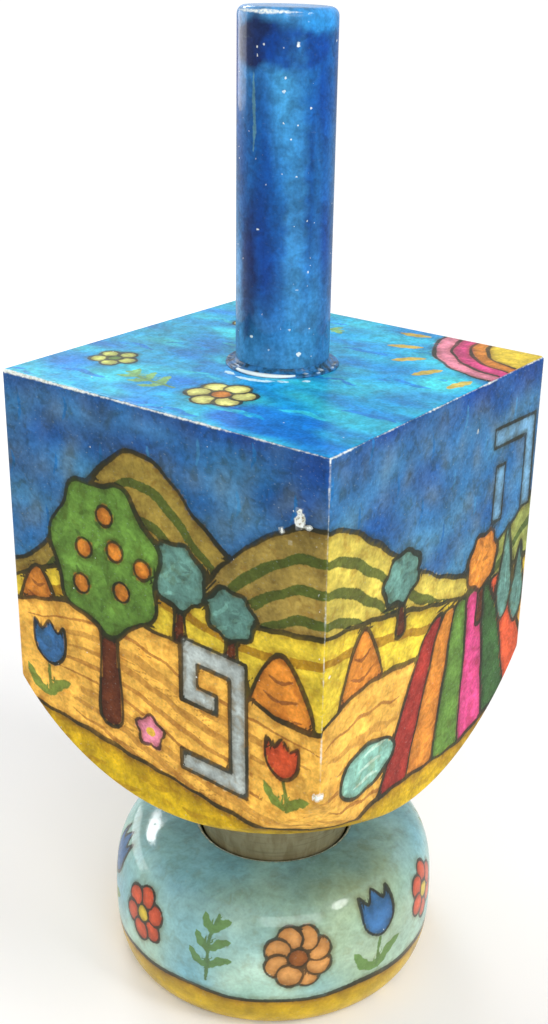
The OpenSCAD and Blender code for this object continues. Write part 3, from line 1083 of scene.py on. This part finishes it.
# Bubbles in the handle's lacquer, painted as pale spots that stand for their glints: azimuth in degrees,
# height and radius
BUBBLES = (
    (-94, 93.6, 0.26), (-34, 91.7, 0.34), (-56, 95.1, 0.18), (-46, 94.8, 0.22), (4, 93.8, 0.2),
    (-70, 92.2, 0.15), (-42, 128.1, 0.3), (-57, 122.9, 0.26), (-86, 106.9, 0.22), (-30, 130.4, 0.2),
    (-76, 112.4, 0.16), (-48, 117.6, 0.15), (-61, 103.1, 0.14), (-38, 99.8, 0.17), (120, 96.0, 0.25),
    (160, 118.0, 0.2), (60, 108.0, 0.2),
)


def paint_handle(points):
    """Mottled blue with paler upright streaks and a dark patch near the top."""
    x, y, z = points.T
    top = handle_high.z
    azimuth = np.arctan2(y, x)
    across = (azimuth + math.pi) * HANDLE_R
    p = Painting(across, z, HANDLE_BLUE)
    p.wash(0.4 + 1.2 * uneven(points * [1.6, 1.6, 0.4], 5.0, 3.0), DEEP_BLUE)
    p.wash(0.2 + 1.2 * uneven(points * [1.8, 1.8, 0.3], 6.0, 6.0), HANDLE_PALE)
    p.wash(0.6 * np.clip((TOP_Z + 8 - z) / 9, 0, 1), rgb(72, 130, 168))
    # The top two millimetres and the cap are washed paler: painted light where the top catches it.
    p.wash(0.8 * np.clip((z - top + 2) / 1.5, 0, 1), rgb(66, 146, 206))
    p.patch(9.2, 128.3, 6.6, 5.8, NAVY, 0.95, 0.25)
    p.patch(14.6, 127.6, 8.5, 5.2, DEEP_BLUE, 0.9, 0.4)
    p.patch(18.6, 131.0, 8.4, 3.0, rgb(46, 148, 220), 0.85, 0.5)
    # Paler upright stripe facing the camera: a painted reflection of the pale floor.
    p.patch(14.6, 111, 2.6, 30, HANDLE_PALE, 0.6, 0.9)
    p.patch(22.4, 112, 4.6, 34, NAVY, 0.5, 0.9)
    p.patch(8.4, 101, 2.6, 16, NAVY, 0.75, 0.6)
    p.patch(26, 120, 7, 18, DEEP_BLUE, 0.7, 0.6)
    p.patch(33, 104, 6, 14, NAVY, 0.6, 0.6)
    # Grey-blue upright streak on the left: a painted reflection of a bright light.
    p.stroke(hand([(9.1, 116), (9.2, 120), (9.0, 125)], wobble=0.05), rgb(88, 140, 158), 0.45)
    # A pale line round the top rounding, kept to the front-left side: a painted highlight together with
    # rubbed paint.
    wear_and_highlight_to = 0.7 * (np.cos(azimuth + math.radians(84)) - 0.68) + 0.1 * uneven(points, 2.0, 4.0)
    wear_and_highlight = np.where(z > top - 1.2, np.abs(z - top + 0.5) - wear_and_highlight_to, FAR)
    for degrees, height, radius in BUBBLES:
        place = math.radians(degrees + 180) * HANDLE_R
        wear_and_highlight = np.minimum(wear_and_highlight, 2 * (np.hypot(across - place, z - height) - radius))
    return p, wear_and_highlight


def make_handle():
    mesh, points = ring_mesh("handle_painted", profile_rings(handle_profile(), 128))
    keep_painting(mesh, *paint_handle(points))
    paint = painted_wood("painted_handle", 1.1, cool_above=TOP_Z - 40, specks=1.1, brush=(1.0, 1.0, 0.3),
                         wear_and_highlight_to=rgb(150, 190, 222), weight=0.36, wave=0.02)
    piece(mesh, "dreidel", paint, "handle")


def bent(start, bend, end, share):
    """A point on the soft curve from start to end that leans towards bend."""
    return start * (1 - share) ** 2 + 2 * bend * share * (1 - share) + end * share ** 2


def tip_profile():
    """The tip from its rounded point up its two flanks to the end of its tenon."""
    ball_z = tip_low.z + POINT_R
    rise = NOSE_Z - ball_z
    lean = math.atan2(rise, NOSE_R) - math.acos(POINT_R / math.hypot(rise, NOSE_R))
    profile = []
    for turn in np.linspace(-math.pi / 2 + 0.12, lean, 9):
        profile.append((POINT_R * math.cos(turn), ball_z + POINT_R * math.sin(turn)))
    nose, root = np.array([NOSE_R, NOSE_Z]), np.array([TIP_ROOT_R, ROOT_Z])
    below_nose, above_nose = [nose + (np.array(end) - nose) * 0.05 for end in (profile[-1], root)]
    profile += through(profile[-1], (below_nose, 26))[1:]
    for share in (0.3, 0.6):
        profile.append(bent(below_nose, nose, above_nose, share))
    return profile + through(above_nose, (root, 34), ((TIP_TENON_R, ROOT_Z), 4),
                             ((TIP_TENON_R, tip_high.z), 6), ((1, tip_high.z), 2))


def make_tip():
    """The turned tip, with faint rings left by the turning tool."""
    profile = []
    for r, z in tip_profile():
        shown = tip_low.z + POINT_R < z < ROOT_Z - 0.1
        cut = 0.03 + 0.03 * math.sin(z * 5.1) * math.sin(z * 1.7)
        profile.append((r - cut * shown, z))
    mesh, _ = ring_mesh("tip_turned", profile_rings(profile, 144))
    piece(mesh, "dreidel", bare_wood(), "spinning_tip")


def dried_glue():
    """Wood glue, slightly cloudy."""
    g = Graph("dried_glue")
    glue = rgb(206, 184, 138)
    cloud = g.noise(0.8, 3.0)
    g.set("Base Color", g.mix(g.span(cloud, 0.3, 0.7), glue, glue * 0.7))
    g.set("Roughness", g.span(cloud, 0.3, 0.7, 0.245, 0.455))
    g.set("Normal", g.bump(g.noise(0.4, 3.0), 0.03))
    return g.material


def bead_material():
    """Clear lacquer over the blue paint, painted silvery-white at its bubbles and along a curved
    highlight on its front-left.
    """
    g = Graph("clear_bead")
    cloud = g.noise(0.9, 3.0)
    glass = g.mix(g.span(cloud, 0.35, 0.65), rgb(18, 56, 76), rgb(46, 118, 176))
    bright_glint = g.mix(cloud, rgb(255, 255, 250), rgb(196, 224, 226))
    g.set("Base Color", g.mix(g.attribute("air_and_glint"), glass, bright_glint))
    g.set("Roughness", g.span(cloud, 0.3, 0.7, 0.25, 0.4))
    g.set("Normal", g.bump(g.noise(0.7, 1.0), 0.02))
    lacquer(g, weight=0.12, roughness=0.08, blobs=0.0)
    return g.material


def bead_section(count):
    """The bead's outline from its rounded lip up a hollow to the handle, out and up from the foot."""
    lip_r, lip_out = 0.4, 1.38
    lip = np.linspace(0, math.radians(110), count)
    rolled = np.stack([lip_out - lip_r + lip_r * np.cos(lip), lip_r * np.sin(lip)], 1)
    share = np.linspace(0, 1, count)[1:, None]
    hollow = bent(rolled[-1], np.array([0.2, 0.3]), np.array([0.02, 0.96]), share)
    return np.concatenate([rolled, hollow])


# Bubbles in the bead, painted silvery for their glints: azimuth in degrees, place up its section from 0
# to 1, and radius
BEAD_BUBBLES = (
    (-28, 0.5, 0.34), (-14, 0.3, 0.26), (-6, 0.6, 0.36), (9, 0.35, 0.3), (21, 0.5, 0.24),
    (-112, 0.4, 0.3), (-150, 0.5, 0.3), (74, 0.6, 0.32), (128, 0.4, 0.26),
)


def make_bead():
    """An uneven bead of lacquer round the handle's foot, with bubbles in it and a pale curve along its
    front-left lip: a painted highlight, partly a thin layer of trapped gas.
    """
    columns, rows, mm_per_degree, section_mm = 480, 14, 0.118, 1.9
    turn = np.arange(columns) * math.tau / columns
    cos, sin = np.cos(turn), np.sin(turn)
    degrees = np.degrees((turn + math.pi) % math.tau - math.pi)
    nothing = np.zeros(columns)
    swell = 0.94 + 0.08 * uneven(np.stack([6 * cos, 6 * sin, nothing], 1), 3.0, 5.0)
    highlight_crescent = np.sqrt(np.clip(1 - ((degrees + 74) / 34) ** 2, 0, 1))
    section = bead_section(rows)
    loops, air_and_glint = [], []
    for place, (out, up) in zip(np.linspace(0, 1, len(section)), section):
        rise, bubble_glint = np.zeros(columns), np.zeros(columns)
        for at, where, radius in BEAD_BUBBLES:
            apart = np.hypot((degrees - at) * mm_per_degree, (place - where) * section_mm)
            rise += np.sqrt(np.clip(radius ** 2 - apart ** 2, 0, None)) * 0.6
            bubble_glint = np.maximum(bubble_glint, np.clip(1.3 - apart / radius, 0, 1))
        reach = np.minimum(HANDLE_R + out * swell + rise, bead_high.x - 0.02)
        height = np.minimum(TOP_Z - 0.01 + up * swell + rise * 0.6, bead_high.z - 0.02)
        loops.append(np.stack([reach * cos, reach * sin, height], 1))
        # Pale curve along the front-left lip: a painted highlight, partly a thin layer of trapped gas
        under = np.clip((0.2 + 0.3 * highlight_crescent - abs(place - 0.32) * 1.6) * 6, 0, 1) * (highlight_crescent > 0)
        air_and_glint.append(np.maximum(0.6 * bubble_glint, under))
    inner_r = HANDLE_R - 0.12
    for up in (0.9, -0.02):
        loops.append(np.stack([inner_r * cos, inner_r * sin, nothing + TOP_Z + up], 1))
        air_and_glint.append(nothing)
    faces = [(a * columns + c, a * columns + d, b * columns + d, b * columns + c)
             for a, b in zip(range(len(loops)), [*range(1, len(loops)), 0])
             for c, d in zip(range(columns), [*range(1, columns), 0])]
    mesh = new_mesh("lacquer_bead", np.concatenate(loops), faces)
    keep(mesh, "air_and_glint", np.concatenate(air_and_glint))
    piece(mesh, "dreidel", bead_material(), "glue_bead")


def bare_wood():
    """Turned wood with rings of darker grain and fine turning marks, thinly lacquered."""
    g = Graph("bare_wood")
    fibre = g.noise(0.5, 3.0, stretch=(1.0, 1.0, 0.12))
    grain = g.noise(2.5, 3.0, stretch=(1.0, 1.0, 0.2), bend=0.8)
    marks = g.noise(0.35, 1.0, stretch=(0.05, 0.05, 1.0))
    colour = g.mix(g.span(grain, 0.35, 0.68), rgb(146, 140, 110), rgb(126, 116, 86))
    colour = g.mix(g.span(fibre, 0.45, 0.75, 0.0, 0.4), colour, rgb(112, 98, 68))
    colour = g.mix(g.span(marks, 0.5, 0.75, 0.0, 0.35), colour, rgb(104, 96, 74))
    g.set("Base Color", colour)
    g.set("Roughness", g.span(fibre, 0.3, 0.7, 0.35, 0.55))
    g.set("Normal", g.bump(g.math("ADD", marks, fibre), 0.03))
    lacquer(g, weight=0.4, roughness=0.15, wave=0.008)
    return g.material


def dress_nodes():
    """The material of the CAD nodes that stay."""
    glue = dried_glue()
    for name in ("handle_glue_film", "tip_glue_film"):
        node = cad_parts[name]
        if not node.data.materials:
            node.data.materials.append(glue)
        node.material_slots[0].link = "OBJECT"
        node.material_slots[0].material = glue


def turned(at, right, up, back):
    """The matrix of something at a place, turned to three directions."""
    return Matrix.Translation(at) @ Matrix((right, up, back)).transposed().to_4x4()


def make_camera():
    """The camera at the photograph's place."""
    turn, rise, roll = (math.radians(a) for a in (CAMERA_TURN, CAMERA_RISE, CAMERA_ROLL))
    back = Vector((math.sin(turn) * math.cos(rise), -math.cos(turn) * math.cos(rise), math.sin(rise)))
    right = Vector((math.cos(turn), math.sin(turn), 0))
    up = back.cross(right)
    data = bpy.data.cameras.new("camera")
    data.lens = LENS
    data.sensor_width = 36.0
    data.shift_x = SHIFT_X
    data.shift_y = SHIFT_Y
    data.clip_start = 0.01
    camera = new_object("camera", data)
    camera.matrix_world = turned(CAMERA_AT, right * math.cos(roll) + up * math.sin(roll),
                                 up * math.cos(roll) - right * math.sin(roll), back)
    bpy.context.scene.camera = camera


def make_floor():
    """A wide pale floor with a faint texture, which the camera sees turn white away from the object."""
    half, glow_from, glow_to = 12000.0, 120, 700
    corners = np.array([(-half, -half, 0), (half, -half, 0), (half, half, 0), (-half, half, 0)])
    mesh = new_mesh("floor", corners, [(0, 1, 2, 3)])
    floor = new_object("floor", mesh)
    g = Graph("floor")
    g.set("Base Color", g.mix(g.noise(40.0, 2.0), rgb(240, 240, 240), rgb(246, 246, 246)))
    g.set("Roughness", 0.8)
    away = g.add("ShaderNodeVectorMath", {0: g.place}, operation="LENGTH").outputs["Value"]
    seen = g.add("ShaderNodeLightPath").outputs["Is Camera Ray"]
    g.set("Emission Color", (1, 1, 1, 1))
    g.set("Emission Strength", g.times(g.span(away, glow_from, glow_to, 0.0, 0.5), seen))
    mesh.materials.append(g.material)


def area_light(name, at, width, depth, power, shape="RECTANGLE", turn=0.0, aim=(0, 0, 60)):
    """A soft lamp aimed at a point, in millimetres, its width level or turned by some degrees."""
    data = bpy.data.lights.new(name, "AREA")
    data.shape = shape
    data.size = width * MM
    data.size_y = depth * MM
    data.energy = power
    back = (Vector(at) - Vector(aim)).normalized()
    level = Vector((0, 0, 1)).cross(back).normalized()
    side = Matrix.Rotation(math.radians(turn), 3, back) @ level
    new_object(name, data).matrix_world = turned(Vector(at) * MM, side, back.cross(side), back)


def make_light():
    """Plain soft studio light, and a white background for the camera and for reflections."""
    area_light("left", (-485, 0, 150), 400, 180, 0.95, aim=(0, 0, 20))
    area_light("bulb", (-354, 221, 332), 200, 48, 0.6, "ELLIPSE")
    area_light("spot", (356, 33, 411), 85, 250, 0.85, "ELLIPSE", turn=-34)
    area_light("front", (400, -340, 360), 420, 300, 1.6)
    light_strength, background_strength = 0.55, 1.0
    world = bpy.data.worlds.new("world")
    bpy.context.scene.world = world
    world.use_nodes = True
    tree = world.node_tree
    background = tree.nodes["Background"]
    background.inputs["Color"].default_value = (1, 1, 1, 1)
    path = tree.nodes.new("ShaderNodeLightPath")
    seen = path.outputs["Is Camera Ray"]
    for kind in ("Is Glossy Ray", "Is Transmission Ray"):
        either = tree.nodes.new("ShaderNodeMath")
        either.operation = "MAXIMUM"
        tree.links.new(seen, either.inputs[0])
        tree.links.new(path.outputs[kind], either.inputs[1])
        seen = either.outputs[0]
    strength = tree.nodes.new("ShaderNodeMix")
    strength.inputs[2].default_value = light_strength
    strength.inputs[3].default_value = background_strength
    tree.links.new(seen, strength.inputs[0])
    tree.links.new(strength.outputs[0], background.inputs["Strength"])


make_camera()
make_floor()
make_light()
make_block()
make_handle()
make_bead()
make_stand()
make_tip()
dress_nodes()
bpy.context.scene.view_settings.view_transform = "Standard"
